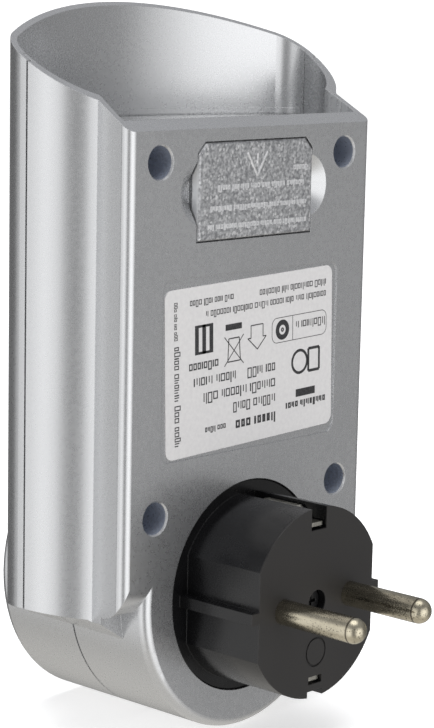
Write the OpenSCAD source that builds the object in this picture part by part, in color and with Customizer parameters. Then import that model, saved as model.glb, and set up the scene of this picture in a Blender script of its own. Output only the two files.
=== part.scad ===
// Plug-in power meter: an earthed plug on the rear, a socket on the front,
// and a display, keys and a coin-cell compartment in a hooded silver housing.
// Origin: centre of the plug's face, on the plug axis. +Y points into the wall
// socket, +Z is up, and the pins lie left and right along X.

/* [Plug] */
// Height of the plug beyond the rear face
plug_h = 17.7; // [17.2:0.1:18.4]
// Radius of the plug's round body
plug_r = 18.3; // [18:0.1:18.6]
// Distance of the side flats from the axis
plug_flat = 16.2; // [15.8:0.1:16.6]
// Pin diameter
pin_d = 4.8; // [4.7:0.05:4.85]
// Distance between the two pins
pin_pitch = 19; // [18.8:0.1:19.2]
// Length of a pin beyond the plug face
pin_len = 19; // [18.5:0.1:19.5]
// Radius of the black base disc around the plug
base_r = 20.4; // [20:0.1:21]

/* [Housing] */
// Width across the oval shell
shell_w = 79.8; // [78:0.2:82]
// Depth of the oval shell from rear face to front
shell_d = 37.2; // [36.6:0.1:38]
// Radius of the curved front
front_r = 73.9; // [70:0.5:80]
// Radius between the front and the sides
corner_r = 7.3; // [6.5:0.1:8]
// Radius of the sides as they turn in towards the rear block
side_r = 15; // [14:0.5:16]
// Width of the flat rear block
block_w = 67.2; // [66:0.2:68]
// Radius of the rear block's upright edges
block_r = 1.7; // [1.5:0.1:2.5]
// Radius of the round socket end
bulb_r = 27.9; // [27.5:0.1:28.5]
// Depth of the round socket end from rear face to socket rim
bulb_d = 39.5; // [39:0.1:40.5]
// Depth of the parting line behind which the rear shell lies
seam_d = 19.8; // [19:0.1:20.5]
// Height of the rear face above the plug axis
rear_top = 87.7; // [86:0.1:90]
// Slope of the hood's rim, in degrees
hood_angle = 30.8; // [28:0.2:33]
// Height of the lower edge of the oval shell
shell_bottom = -1.5; // [-2:0.1:-1]
// Shell thickness
wall = 2; // [1.8:0.1:2.2]
// Thickness of the hood's sides, which is thinner than the shell below it
hood_wall = 1.6; // [1.4:0.1:2]
// How much thinner still the hood is at the front
hood_thin = 0.5; // [0:0.1:0.6]
// Gap at the parting line
seam_gap = 0.35; // [0.2:0.05:0.5]

/* [Socket] */
// Radius of the socket well
well_r = 19.5; // [19.3:0.1:19.7]
// Depth of the socket well
well_d = 17.5; // [17:0.1:18]
// Radius of the two pin holes
hole_r = 2.9; // [2.8:0.05:3]

/* [Display and keys] */
// Half width of the display window
window_x = 23.5; // [22:0.5:24]
// Lower edge of the display window
window_z0 = 53.5; // [52:0.5:56]
// Upper edge of the display window
window_z1 = 80.5; // [78:0.5:81]
// Distance between neighbouring keys
key_pitch = 11.5; // [11:0.1:12]
// Height of the row of keys
key_z = 42.5; // [40:0.5:45]
// Key width
key_w = 8.4; // [7.5:0.1:8.8]
// Key height
key_h = 6; // [5:0.1:7]

/* [Battery compartment] */
// Half width of the cover
cover_x = 15.8; // [15:0.1:16.5]
// Lower edge of the cover
cover_z0 = 67.2; // [66.5:0.1:68]
// Upper edge of the cover
cover_z1 = 85.1; // [84.5:0.1:85.3]
// Thickness of the cover
cover_t = 2.3; // [2:0.1:2.5]
// Radius of a coin cell
cell_r = 5.8; // [5.7:0.05:5.8]
// Thickness of a coin cell
cell_h = 5.4; // [5.2:0.05:5.4]

/* [Label] */
// Label width
label_w = 47; // [45:0.5:47.5]
// Label height
label_h = 31.5; // [30:0.5:32]
// Height of the label's centre above the plug axis
label_z = 43.7; // [43:0.1:44]
// Angle by which the label was stuck on askew, in degrees
label_tilt = 1.8; // [0:0.1:2]

/* [Hidden] */

silver = "silver";
black = "#1d1d1f";
copper = "#b87333";
nickel = "#c9c5b8";

fine = 120;
round = 48;
seam = plug_h + seam_d;
rim = plug_h + bulb_d;
rear_wall = 2.4;
inside = plug_h + rear_wall;
hood_back = 3;
floor_top = rear_top;
floor_t = 2;
chamber_top = floor_top - floor_t;

// The plan is drawn with the rear face on y = 0 and the front towards -y.
front_y = front_r - shell_d;
corner_x = shell_w / 2 - corner_r;
corner_y = front_y - sqrt(pow(front_r - corner_r, 2) - pow(corner_x, 2));
side_x = shell_w / 2 - side_r;
crease_x = block_w / 2 - 0.7;
crease_y = corner_y + sqrt(pow(side_r, 2) - pow(crease_x - side_x, 2));

// Screw places, and the depths of their heads and bosses
screw_x = 25.6;
screw_z = [17, 82];
screw_r = 3;
head_depth = plug_h + 15.8;

pin_x = pin_pitch / 2;
shank_r = 2;
bar_depth = 26.4;
bar_t = 1.2;
floor_depth = rim - well_d;
insert_t = 2.6;
insert_back = floor_depth - insert_t;
shutter_t = 1.5;
shutter_front = insert_back - 0.3;
post_r = 1.9;

// Depths of the bosses' tops, the boards and the display
boss_top = 48.7;
board_front = 44.8;
board_t = 1.6;
lcd_front = 49;
lcd_t = 2.2;
power_front = 32.6;
key_rest = 47.5;
key_names = ["key_func", "key_down", "key_up", "key_set", "key_reset"];

cell_depth = plug_h + 9.5;
cell_z = 76;
tray_x = 12.3;

// Child geometry drawn in x and z, growing forwards from a depth behind the plug face
module at_depth(d) {
    translate([0, -d, 0])
        rotate([90, 0, 0])
            children();
}

// A profile drawn in y and z, as wide as w, centred on x
module across_x(w) {
    translate([-w / 2, 0, 0])
        rotate([90, 0, 90])
            linear_extrude(w)
                children();
}

module both_sides() {
    children();
    mirror([1, 0, 0])
        children();
}

module rounded_rect(x, y0, y1, r) {
    translate([-x + r, y0])
        square([2 * (x - r), y1 - y0]);
    translate([-x, y0 + r])
        square([2 * x, y1 - y0 - 2 * r]);
    for (sx = [-1, 1])
        for (sy = [y0 + r, y1 - r])
            translate([sx * (x - r), sy])
                circle(r, $fn = round);
}

module oval(w, h) {
    square([w - h, h], center = true);
    for (s = [-1, 1])
        translate([s * (w - h) / 2, 0])
            circle(h / 2, $fn = round);
}

// Outline of the shell seen from above, set in by `inset`, and at the rear by `back`
module plan(inset = 0, back = 0) {
    reach = 1.3 * front_r / norm([corner_x, corner_y - front_y]);
    far_x = corner_x * reach;
    far_y = front_y + (corner_y - front_y) * reach;
    edge_r = max(block_r - inset, 0.2);
    block_x = block_w / 2;
    edge_x = block_x - inset - edge_r;
    intersection() {
        translate([0, front_y])
            circle(front_r - inset, $fn = 2 * fine);
        polygon([[-corner_x, corner_y], [corner_x, corner_y], [far_x, far_y], [-far_x, far_y]]);
    }
    intersection() {
        union() {
            for (s = [-1, 1])
                translate([s * side_x, corner_y])
                    circle(side_r - inset, $fn = fine);
            translate([-side_x, corner_y])
                square([2 * side_x, side_r - inset]);
        }
        translate([-shell_w / 2, corner_y])
            square([shell_w, side_r]);
    }
    for (s = [-1, 1])
        translate([s * corner_x, corner_y])
            circle(corner_r - inset, $fn = fine);
    polygon([
        [-crease_x + inset, corner_y], [crease_x - inset, corner_y],
        [crease_x - inset, crease_y], [block_x - inset, -block_r - back],
        [-block_x + inset, -block_r - back], [-crease_x + inset, crease_y]
    ]);
    translate([-edge_x, -2 * block_r - back])
        square([2 * edge_x, 2 * block_r]);
    for (s = [-1, 1])
        translate([s * edge_x, -back - edge_r])
            circle(edge_r, $fn = round);
    translate([-block_x + inset, -block_r - back - 0.1])
        square([block_w - 2 * inset, block_r - edge_r + 0.1]);
}

module column(inset, back, z0, z1) {
    translate([0, -plug_h, z0])
        linear_extrude(z1 - z0)
            plan(inset, back);
}

// Everything under the hood's sloping rim
module under_rim() {
    run = 60;
    translate([0, -plug_h, 0])
        across_x(100)
            polygon([
                [-run, -40], [1, -40], [1, rear_top], [0, rear_top],
                [-run, rear_top + run * tan(hood_angle)]
            ]);
}

// Everything above the shell's lower edge, which slopes in to the round socket end
module above_skirt() {
    at_depth(plug_h - 1)
        linear_extrude(60)
            polygon([
                [-42, 130], [-42, -0.9], [-block_w / 2, -2.4], [-27, -6.8],
                [27, -6.8], [block_w / 2, -2.4], [42, -0.9], [42, 130]
            ]);
}

// Everything but the rounded lower edge of the rear block
module above_block_edge() {
    r = 6.3;
    translate([0, -plug_h, 0])
        across_x(100) {
            translate([-60, -20])
                square([60 - r, 160]);
            translate([-60, shell_bottom + r])
                square([62, 140]);
            translate([-r, shell_bottom + r])
                circle(r, $fn = round);
        }
}

module bulb_outline() {
    rear_edge = 1.7;
    front_edge = 1.4;
    rotate_extrude($fn = 2 * fine) {
        square([bulb_r - rear_edge, bulb_d]);
        translate([0, rear_edge])
            square([bulb_r, bulb_d - rear_edge - front_edge]);
        square([bulb_r - max(rear_edge, front_edge), bulb_d]);
        translate([bulb_r - rear_edge, rear_edge])
            circle(rear_edge, $fn = round);
        translate([bulb_r - front_edge, bulb_d - front_edge])
            circle(front_edge, $fn = round);
    }
}

module whole_form() {
    intersection() {
        column(0, 0, -8, 115);
        under_rim();
        above_skirt();
        above_block_edge();
    }
    at_depth(plug_h)
        bulb_outline();
}

module half(front) {
    d0 = front ? seam + seam_gap / 2 : -1;
    d1 = front ? rim + 1 : seam - seam_gap / 2;
    at_depth(d0)
        translate([-50, -40, 0])
            cube([100, 170, d1 - d0]);
}

// Hollow inside the shell, set in by `inset`
module chamber(inset) {
    column(inset, rear_wall, shell_bottom + wall, chamber_top);
    at_depth(inside)
        cylinder(r = bulb_r - inset, h = bulb_d - rear_wall - wall, $fn = 2 * fine);
}

// Space inside the hood, set in by `more` than its wall
module hood_space(more, z0, z1) {
    translate([0, -hood_thin, 0])
        column(hood_wall + more, hood_back - hood_thin, z0, z1);
}

module hood_hollow() {
    hood_space(0, floor_top, 120);
}

module screw_places() {
    for (x = [-screw_x, screw_x])
        for (z = screw_z)
            translate([x, z, 0])
                children();
}

// Fixing places of the two boards
module power_fixings() {
    for (x = [-26, 26])
        for (z = [33, 60.5])
            translate([x, z, 0])
                children();
}

module display_fixings() {
    for (x = [-26, 26])
        translate([x, 34, 0])
            children();
}

module key_place(i) {
    translate([(i - 2) * key_pitch, key_z, 0])
        children();
}

// Band of the curved front between two radii, over heights z0 to z1
module front_band(r0, r1, z0, z1) {
    translate([0, front_y - plug_h, z0])
        difference() {
            cylinder(r = r1, h = z1 - z0, $fn = 2 * fine);
            translate([0, 0, -1])
                cylinder(r = r0, h = z1 - z0 + 2, $fn = 2 * fine);
        }
}

module front_housing() {
    rebate = 0.8;
    boss_r = 3.6;
    color(silver) {
        difference() {
            intersection() {
                whole_form();
                half(true);
            }
            chamber(wall);
            hood_hollow();
            column(wall, rear_wall, chamber_top - 1, floor_top + 1);
            intersection() {
                union() {
                    chamber(rebate);
                    column(rebate, rear_wall, chamber_top - 1, 120);
                }
                at_depth(seam - 1)
                    translate([-50, -40, 0])
                        cube([100, 170, 2.95]);
            }
            at_depth(rim - 5)
                cylinder(r = 22.45, h = 6, $fn = fine);
            at_depth(plug_h + 25)
                linear_extrude(20)
                    rounded_rect(window_x, window_z0, window_z1, 4);
            for (i = [0:4])
                at_depth(plug_h + 25)
                    key_place(i)
                        linear_extrude(20)
                            oval(key_w + 0.5, key_h + 0.5);
        }
        // ledge around the hood's floor
        intersection() {
            difference() {
                hood_space(-0.1, floor_top + 0.25, floor_top + 1.35);
                hood_space(0.4, floor_top, floor_top + 2);
            }
            at_depth(seam + 2.4)
                translate([-50, 0, 0])
                    cube([100, 100, 20]);
        }
        at_depth(seam + seam_gap / 2)
            screw_places()
                difference() {
                    cylinder(r = boss_r, h = boss_top - seam - seam_gap / 2, $fn = round);
                    translate([0, 0, -1])
                        cylinder(r = 1.5, h = 10.5, $fn = round);
                }
        // posts and pegs that locate the display board
        at_depth(board_front)
            display_fixings()
                cylinder(r = 2.4, h = boss_top - board_front, $fn = round);
        at_depth(board_front - board_t - 0.6)
            display_fixings()
                cylinder(r = 1.1, h = board_t + 0.7, $fn = round);
    }
}

// Finger scoop beside the battery cover, narrowing towards its floor
module scoop() {
    mouth_r = 6.1;
    floor_r = 1.5;
    depth = 3;
    slope = (mouth_r - floor_r) / depth;
    at_depth(plug_h - 1)
        translate([14.2, 76.1, 0])
            cylinder(r1 = mouth_r + slope, r2 = floor_r, h = depth + 1, $fn = fine);
}

module cover_outline(gap) {
    cut = 2;
    x = cover_x + gap;
    z0 = cover_z0 - gap;
    z1 = cover_z1 + gap;
    polygon([[-x, z0], [x, z0], [x, z1 - cut], [x - cut, z1], [-x + cut, z1], [-x, z1 - cut]]);
}

module rear_housing() {
    lip = 0.9;
    boss_r = 4.3;
    block_depth = 22.5;
    color(silver)
        difference() {
            union() {
                difference() {
                    intersection() {
                        whole_form();
                        half(false);
                    }
                    chamber(wall);
                    hood_hollow();
                }
                // tongue that enters the front shell's rebate
                intersection() {
                    difference() {
                        union() {
                            chamber(lip);
                            column(lip, rear_wall, chamber_top - 1, 120);
                        }
                        chamber(wall);
                        hood_hollow();
                    }
                    under_rim();
                    at_depth(seam - 0.5)
                        translate([-50, -40, 0])
                            cube([100, 170, 2.3]);
                }
                // hood floor, reaching to the front wall
                intersection() {
                    column(wall + 0.25, rear_wall, chamber_top, floor_top);
                    at_depth(inside)
                        translate([-50, 80, 0])
                            cube([100, 20, 40]);
                }
                // block around the battery tray's mouth
                at_depth(inside - 0.5)
                    translate([-22, 65.5, 0])
                        cube([44, chamber_top - 65.5 + 0.2, block_depth - inside + 0.5]);
                at_depth(inside - 0.5)
                    screw_places()
                        cylinder(r = boss_r, h = seam - inside + 0.3, $fn = round);
                // posts and pegs that carry the power board
                at_depth(inside - 0.5)
                    power_fixings()
                        cylinder(r = 2.6, h = power_front - board_t - inside + 0.5, $fn = round);
                at_depth(power_front - board_t - 0.1)
                    power_fixings()
                        cylinder(r = 1.4, h = board_t + 0.7, $fn = round);
            }
            at_depth(plug_h - 1)
                cylinder(r = base_r + 0.25, h = 5, $fn = fine);
            at_depth(plug_h - 1)
                screw_places() {
                    cylinder(r1 = screw_r + 1.3, r2 = screw_r - 0.1, h = 1.4, $fn = round);
                    cylinder(r = screw_r, h = head_depth - plug_h + 1, $fn = round);
                    cylinder(r = 1.7, h = 25, $fn = round);
                }
            // bed of the battery cover, then the opening behind it
            at_depth(plug_h - 1)
                linear_extrude(1 + cover_t - 0.1)
                    cover_outline(0.25);
            at_depth(plug_h - 1)
                linear_extrude(10)
                    translate([-tray_x, cell_z - cell_r - 0.3])
                        square([2 * tray_x, 2 * cell_r + 0.6]);
            both_sides()
                intersection() {
                    scoop();
                    at_depth(0)
                        translate([cover_x + 0.2, 60, 0])
                            cube([20, 30, 40]);
                }
            // shallow bed of the label
            at_depth(plug_h - 1)
                linear_extrude(1.25)
                    rounded_rect(24.4, 26.9, 60.8, 2.2);
        }
}

module plug_outline() {
    rib_x = 18.2;
    rib_z = 1.1;
    intersection() {
        circle(plug_r, $fn = fine);
        square([2 * plug_flat, 3 * plug_r], center = true);
    }
    square([2 * rib_x, 2 * rib_z], center = true);
}

module plug_body() {
    channel_x = 2.15;
    notch_z = 17;
    color(black)
        difference() {
            union() {
                at_depth(0)
                    linear_extrude(plug_h + 1)
                        plug_outline();
                at_depth(plug_h + 0.4)
                    cylinder(r = base_r, h = 3, $fn = fine);
                at_depth(inside + 0.1)
                    cylinder(r = 24, h = 2.4, $fn = fine);
            }
            // earth channels above and below
            at_depth(-1)
                translate([-channel_x, 14, 0])
                    cube([2 * channel_x, 10, plug_h + 1.4]);
            at_depth(-1)
                translate([-channel_x, -notch_z - 7, 0])
                    cube([2 * channel_x, 7, plug_h + 1.4]);
            at_depth(1.5)
                translate([-channel_x, -notch_z - 1, 0])
                    cube([2 * channel_x, notch_z + 1 - 14.2, plug_h - 1.1]);
            // slots that the earth strips pass through
            both_ends()
                at_depth(-1)
                    translate([-1.9, 14.2, 0])
                        cube([3.8, 1.5, 30]);
            for (x = [-pin_x, pin_x])
                at_depth(-1)
                    translate([x, 0, 0])
                        cylinder(r = shank_r + 0.05, h = 30, $fn = round);
            // centre screw recess and a plain ring
            at_depth(-1)
                cylinder(r = 2.45, h = 4.2, $fn = round);
            at_depth(-1)
                cylinder(r = 1.35, h = 12, $fn = round);
            at_depth(-1)
                translate([0, -9.5, 0])
                    difference() {
                        cylinder(r = 2.9, h = 1.25, $fn = round);
                        translate([0, 0, -1])
                            cylinder(r = 2.5, h = 4, $fn = round);
                    }
        }
}

module both_ends() {
    for (turn = [0, 180])
        rotate([0, turn, 0])
            children();
}

module plug_pin(x) {
    tip_r = pin_d / 2;
    color(nickel)
        translate([x, 0, 0])
            rotate([90, 0, 0])
                rotate_extrude($fn = round) {
                    translate([0, -pin_len + tip_r])
                        intersection() {
                            circle(tip_r, $fn = round);
                            translate([0, -tip_r])
                                square([tip_r, tip_r]);
                        }
                    translate([0, -pin_len + tip_r])
                        square([tip_r, pin_len - tip_r]);
                    square([shank_r, bar_depth + bar_t]);
                }
}

module plug_pin_left() plug_pin(-pin_x);

module plug_pin_right() plug_pin(pin_x);

// Strip that lies in an earth channel, bent outwards along the middle
module earth_strip(turn) {
    t = 0.8;
    low = 14.5;
    high = 16.7;
    color(nickel)
        rotate([0, turn, 0])
            across_x(3.4)
                polygon([
                    [-0.7, low], [-3, low], [-5.5, high], [-14.5, high], [-16.8, low],
                    [-25.2, low], [-25.2, low + t], [-16.4, low + t], [-14.1, high + t],
                    [-5.9, high + t], [-3.4, low + t], [-0.7, low + t]
                ]);
}

module plug_earth_strip_top() earth_strip(0);

module plug_earth_strip_bottom() earth_strip(180);

module plug_centre_screw() {
    color(nickel)
        at_depth(1.6)
            difference() {
                union() {
                    cylinder(r = 2.3, h = 1.5, $fn = round);
                    cylinder(r = 1.25, h = 9, $fn = round);
                }
                for (a = [0, 90])
                    rotate([0, 0, a])
                        translate([-1.4, -0.3, -1])
                            cube([2.8, 0.6, 1.8]);
            }
}

// Ring that joins the plug's earth strips, with two risers to the socket's clips
module earth_ring() {
    ring_d = 24;
    riser_z = 16.3;
    color(nickel) {
        difference() {
            at_depth(ring_d)
                cylinder(r = 19, h = 1, $fn = fine);
            at_depth(ring_d - 1)
                cylinder(r = 14.6, h = 3, $fn = fine);
            both_ends()
                at_depth(ring_d - 1)
                    translate([-1.9, 14.4, 0])
                        cube([3.8, 1, 3]);
        }
        both_ends()
            at_depth(ring_d + 0.9)
                translate([-2.5, riser_z, 0])
                    cube([5, 0.9, insert_back - ring_d - 0.9]);
    }
}

module socket_insert() {
    cup_r = 22.3;
    slot_x = 3;
    color(black)
        difference() {
            union() {
                difference() {
                    union() {
                        at_depth(insert_back)
                            cylinder(r = cup_r, h = rim - 0.2 - insert_back, $fn = fine);
                        at_depth(rim - wall - 2.3)
                            cylinder(r = 25.5, h = 2.2, $fn = fine);
                    }
                    at_depth(floor_depth)
                        cylinder(r = well_r, h = 30, $fn = fine);
                }
                // side guides
                both_sides()
                    at_depth(floor_depth - 0.5)
                        translate([well_r - 1.6, -2.4, 0])
                            cube([2.5, 4.8, well_d - 2]);
                // shutter post
                at_depth(insert_back - 3)
                    cylinder(r = post_r, h = 3.5, $fn = round);
            }
            for (x = [-pin_x, pin_x])
                at_depth(insert_back - 1)
                    translate([x, 0, 0])
                        cylinder(r = hole_r, h = insert_t + 2, $fn = round);
            // slots and grooves of the earth clips
            both_ends()
                at_depth(insert_back - 1)
                    translate([-slot_x, 15.8, 0])
                        cube([2 * slot_x, 5.2, insert_t + 14]);
        }
}

// Sprung finger that stands into the well and touches the plug's earth strip
module socket_earth_clip(turn) {
    t = 0.6;
    back = insert_back;
    color(nickel)
        rotate([0, turn, 0])
            across_x(5)
                polygon([
                    [-back, 17.3], [-back - 4, 17.3], [-back - 8, 16.2], [-back - 11, 18.2],
                    [-back - 15.5, 20.2], [-back - 15.5, 20.2 + t], [-back - 11, 18.2 + t],
                    [-back - 8, 16.2 + t], [-back - 4, 17.3 + t], [-back, 17.3 + t]
                ]);
}

module socket_earth_clip_top() socket_earth_clip(0);

module socket_earth_clip_bottom() socket_earth_clip(180);

// Two-bladed shutter that covers both pin holes from behind
module socket_shutter() {
    blade_r = 12.6;
    blade_angle = 22;
    hub_r = 4;
    color("#d8d4c8")
        at_depth(shutter_front - shutter_t)
            difference() {
                union() {
                    linear_extrude(shutter_t)
                        intersection() {
                            circle(blade_r, $fn = fine);
                            for (s = [-1, 1])
                                polygon([
                                    [0, 0],
                                    [s * 20 * cos(blade_angle), 20 * sin(blade_angle)],
                                    [s * 20 * cos(blade_angle), -20 * sin(blade_angle)]
                                ]);
                        }
                    cylinder(r = hub_r, h = shutter_t, $fn = round);
                }
                translate([0, 0, -1])
                    cylinder(r = post_r + 0.06, h = shutter_t + 2, $fn = round);
            }
}

module shutter_spring() {
    wire = 0.25;
    coil_r = 3;
    color(nickel)
        at_depth(shutter_front - shutter_t - 0.35)
            rotate([180, 0, 0])
                for (turn = [0:1])
                    translate([0, 0, turn * 2 * wire])
                        rotate_extrude($fn = round)
                            translate([coil_r, 0])
                                circle(wire, $fn = 16);
}

module shutter_retainer() {
    color(nickel)
        at_depth(insert_back - 3.6)
            difference() {
                cylinder(r = 3.4, h = 0.6, $fn = round);
                for (a = [0:120:240])
                    rotate([0, 0, a])
                        translate([1.2, -0.4, -1])
                            cube([1.4, 0.8, 3]);
            }
}

// Spring sleeve that grips one pin of the inserted plug
module contact_sleeve(base) {
    at_depth(base)
        difference() {
            cylinder(r = 3.2, h = 34.7 - base, $fn = round);
            translate([0, 0, 1])
                cylinder(r = 2.3, h = 20, $fn = round);
            translate([-5, -0.4, 2.2])
                cube([10, 0.8, 20]);
        }
}

// Sleeve and strap of the neutral side, riveted straight to its plug pin
module neutral_contact() {
    color(copper)
        translate([-pin_x, 0, 0]) {
            contact_sleeve(bar_depth + bar_t + 0.2);
            at_depth(bar_depth)
                difference() {
                    cylinder(r = 3.6, h = bar_t + 0.6, $fn = round);
                    translate([0, 0, -1])
                        cylinder(r = shank_r + 0.03, h = bar_t + 1, $fn = round);
                }
        }
}

// Sleeve of the live side, with the strap that comes back from the shunt
module live_contact() {
    base = bar_depth + bar_t + 1;
    color(copper) {
        translate([pin_x, 0, 0])
            contact_sleeve(base);
        at_depth(base)
            translate([5.5, 2.6, 0])
                cube([4, 28, 0.8]);
    }
}

// Strap from the live plug pin up to the shunt
module live_bar() {
    color(copper)
        at_depth(bar_depth)
            difference() {
                union() {
                    translate([pin_x, 0, 0])
                        cylinder(r = 3.6, h = bar_t, $fn = round);
                    translate([pin_x + 0.6, 0, 0])
                        cube([3, 12, bar_t]);
                    translate([pin_x + 0.6, 9, 0])
                        cube([8.4, 3, bar_t]);
                    translate([pin_x + 6, 9, 0])
                        cube([3, 21.6, bar_t]);
                }
                translate([pin_x, 0, -1])
                    cylinder(r = shank_r + 0.03, h = 4, $fn = round);
            }
}

// Flat bridge of resistance metal between the two live straps
module shunt_resistor() {
    color("#8d7b5a")
        at_depth(bar_depth + bar_t + 0.05)
            difference() {
                translate([5.5, 31, 0])
                    cube([13, 5.5, 0.9]);
                for (x = [8.7, 12.2])
                    translate([x, 30.5, -1])
                        cube([0.8, 4, 3]);
            }
}

module display_window() {
    gap = 0.15;
    color("#30383c")
        intersection() {
            front_band(front_r - wall, front_r - 0.1, window_z0 - 1, window_z1 + 1);
            at_depth(plug_h + 25)
                linear_extrude(20)
                    rounded_rect(window_x - gap, window_z0 + gap, window_z1 - gap, 4 - gap);
        }
}

module lcd_module() {
    x = 21;
    color("#9aa78c")
        at_depth(lcd_front - lcd_t) {
            translate([-x, 55, 0])
                cube([2 * x, 24, 1.1]);
            translate([-x, 57.4, 1.1])
                cube([2 * x, 21.6, lcd_t - 1.1]);
        }
}

module lcd_connector() {
    color("pink")
        at_depth(board_front)
            translate([-19, 55.2, 0])
                cube([38, 2, lcd_front - lcd_t - board_front]);
}

module display_board() {
    color("darkgreen")
        at_depth(board_front - board_t)
            difference() {
                translate([-29, 30, 0])
                    cube([58, 54, board_t]);
                screw_places()
                    translate([0, 0, -1])
                        cylinder(r = 4.1, h = 5, $fn = round);
                display_fixings()
                    translate([0, 0, -1])
                        cylinder(r = 1.2, h = 5, $fn = round);
            }
}

module meter_chip() {
    color("#222222")
        at_depth(board_front - board_t - 1.2)
            difference() {
                translate([-5, 56, 0])
                    cube([10, 10, 1.2]);
                translate([-3.8, 64.8, -0.5])
                    cylinder(r = 0.5, h = 0.6, $fn = 24);
            }
}

module key_mat() {
    dome_h = 1.1;
    color("#d9d9d9")
        at_depth(board_front) {
            translate([-28.5, key_z - 5, 0])
                cube([57, 10, 0.8]);
            for (i = [0:4])
                key_place(i)
                    cylinder(r = 2.4, h = dome_h, $fn = round);
        }
}

// Key cap whose top follows the curved front, with a flange behind the wall
module key(i) {
    proud = 0.8;
    flange = 0.9;
    inner_r = front_r - wall;
    color("#4a4e54") {
        intersection() {
            front_band(inner_r - 1.2, front_r + proud, key_z - 6, key_z + 6);
            at_depth(key_rest - 0.5)
                key_place(i)
                    linear_extrude(20)
                        oval(key_w, key_h);
        }
        intersection() {
            front_band(inner_r - 1.3, inner_r - 0.3, key_z - 6, key_z + 6);
            at_depth(key_rest - 0.5)
                key_place(i)
                    linear_extrude(20)
                        oval(key_w + 2 * flange, key_h + 2 * flange);
        }
        intersection() {
            at_depth(key_rest - 0.75)
                key_place(i)
                    cylinder(r = 1.6, h = 6, $fn = round);
            translate([0, front_y - plug_h, 0])
                cylinder(r = inner_r - 0.5, h = 80, $fn = 2 * fine);
        }
    }
}

module power_board() {
    color("darkgreen")
        at_depth(power_front - board_t)
            difference() {
                translate([-29, 29.6, 0])
                    cube([58, 34.4, board_t]);
                power_fixings()
                    translate([0, 0, -1])
                        cylinder(r = 1.5, h = 5, $fn = round);
            }
}

// Part of the given size standing on the power board's rear side, on two leads
module on_power_board(x, z, w, h, t) {
    at_depth(power_front - board_t - t - 0.6)
        translate([x - w / 2, z - h / 2, 0])
            cube([w, h, t]);
    for (s = [-1, 1])
        at_depth(power_front - board_t - 0.7)
            translate([x + s * (w / 2 - 1.5), z, 0])
                cylinder(r = 0.4, h = 0.7, $fn = 16);
}

module film_capacitor() {
    color("goldenrod")
        on_power_board(-16, 50, 18, 11, 7.5);
}

module varistor() {
    color("royalblue") {
        at_depth(power_front - board_t - 4.6)
            translate([6, 51, 0])
                cylinder(r = 5.5, h = 4, $fn = round);
        for (x = [3.5, 8.5])
            at_depth(power_front - board_t - 0.7)
                translate([x, 51, 0])
                    cylinder(r = 0.4, h = 0.7, $fn = 16);
    }
}

module fuse() {
    color("#e8e4da")
        on_power_board(-16, 37, 10, 4, 4);
}

module ribbon_cable() {
    t = 0.6;
    color("lightgrey")
        across_x(12)
            polygon([
                [-power_front, 61.4], [-board_front + board_t + 4, 66.4],
                [-board_front + board_t, 68.4], [-board_front + board_t, 68.4 + t],
                [-board_front + board_t + 3.7, 67], [-power_front, 62]
            ]);
}

module battery_tray() {
    back = cell_depth + cell_r + 0.3;
    z = cell_r + 0.3;
    t = 1;
    color("#3a3a3c")
        at_depth(22.5)
            difference() {
                translate([-tray_x - t, cell_z - z - t, 0])
                    cube([2 * (tray_x + t), 2 * (z + t), back - 22.5 + t]);
                translate([-tray_x, cell_z - z, -1])
                    cube([2 * tray_x, 2 * z, back - 22.5 + 1]);
            }
}

// Three coin cells in one stack along x
module battery_cells() {
    can = 0.84 * cell_h;
    color(nickel)
        translate([-tray_x + 0.9, -cell_depth, cell_z])
            rotate([0, 90, 0])
                for (i = [0:2])
                    translate([0, 0, i * cell_h]) {
                        cylinder(r = cell_r, h = can, $fn = fine);
                        cylinder(r = 0.82 * cell_r, h = cell_h, $fn = fine);
                    }
}

// Conical contact spring drawn as separate flat turns, with its contact plate
module battery_spring() {
    wire = 0.4;
    x0 = -tray_x + 0.9 + 3 * cell_h;
    x1 = tray_x - 0.5;
    turns = 4;
    color(nickel)
        translate([0, -cell_depth, cell_z]) {
            for (i = [0:turns - 1])
                translate([x0 + wire + i * (x1 - x0 - 2 * wire) / (turns - 1), 0, 0])
                    rotate([0, 90, 0])
                        rotate_extrude($fn = round)
                            translate([2.4 + 0.5 * i, 0])
                                circle(wire, $fn = 16);
            translate([x1, -3, -4.5])
                cube([0.5, 6, 9]);
        }
}

module battery_plate() {
    color(nickel)
        translate([-tray_x, -cell_depth - 3, cell_z - 4.5])
            cube([0.6, 6, 9]);
}

module battery_cover() {
    proud = 0.25;
    bevel = 0.6;
    color("darkgray")
        difference() {
            union() {
                at_depth(plug_h - proud + bevel)
                    linear_extrude(cover_t - 0.15 + proud - bevel)
                        cover_outline(0);
                for (i = [0:3])
                    at_depth(plug_h - proud + i * bevel / 4)
                        linear_extrude(bevel)
                            cover_outline(-bevel * (1 - sqrt(1 - pow(1 - (i + 1) / 5, 2))));
                both_sides()
                    at_depth(plug_h + cover_t - 0.5)
                        translate([10, cell_z - 3, 0])
                            cube([1, 6, 1.6]);
                // raised arrow, pointing down
                at_depth(plug_h - proud - 0.12)
                    translate([0, 78.6, 0]) {
                        for (s = [-1, 1])
                            rotate([0, 0, s * 32])
                                translate([-0.2, 0, 0])
                                    cube([0.4, 5.2, 0.5]);
                        translate([-0.15, 2.2, 0])
                            cube([0.3, 2, 0.5]);
                    }
            }
            // undercut behind the finger edges
            both_sides()
                at_depth(plug_h + 1.5)
                    translate([cover_x - 0.9, cell_z - 5.5, 0])
                        cube([2, 11, 4]);
        }
}

module rating_label() {
    color("white")
        at_depth(plug_h + 0.08)
            translate([0, label_z, 0])
                rotate([0, 0, -label_tilt])
                    linear_extrude(0.17)
                        translate([0, -label_h / 2])
                            rounded_rect(label_w / 2, 0, label_h, 1.8);
}

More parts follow.
